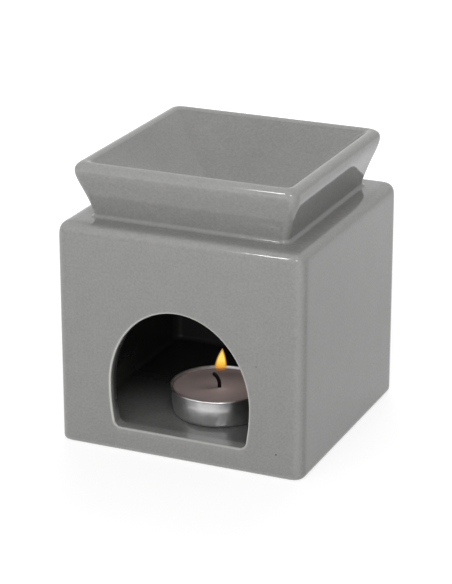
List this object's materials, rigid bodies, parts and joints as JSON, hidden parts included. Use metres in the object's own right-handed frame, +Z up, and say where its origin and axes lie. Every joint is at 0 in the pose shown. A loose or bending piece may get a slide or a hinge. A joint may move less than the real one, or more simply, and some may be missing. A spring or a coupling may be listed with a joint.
{
  "type": "essential oil burner",
  "caption": "Square glazed ceramic oil burner: a box with an arched mouth, a flared dish on top for water and oil, and a tealight in an aluminium cup on the chamber floor.",
  "frame": {"origin": "middle of the footprint, on the surface that the burner stands on", "axes": "+Z up, the arched mouth faces -Y, +X to the right seen from the mouth"},
  "size_m": [0.1, 0.1, 0.1106],
  "materials": {
    "grey_glaze": "gloss",
    "cup_aluminium": "satin",
    "candle_wax": "satin",
    "charred_cotton": "matte",
    "tinned_steel": "satin"
  },
  "bodies": {
    "burner": {"burner_body": "grey_glaze", "oil_dish": "grey_glaze"},
    "tealight": {"tealight_cup": "cup_aluminium"},
    "candle": {"tealight_wax": "candle_wax", "tealight_wick": "charred_cotton", "wick_sustainer": "tinned_steel"}
  },
  "joints": [
    {"name": "tealight_slide", "type": "slide", "parent": "burner", "child": "tealight", "axis": [0, -0.9848, 0.1736], "range_m": [0, 0.06]},
    {"name": "candle_lift", "type": "slide", "parent": "tealight", "child": "candle", "axis": [0, 0, 1], "range_m": [0, 0.02]}
  ]
}
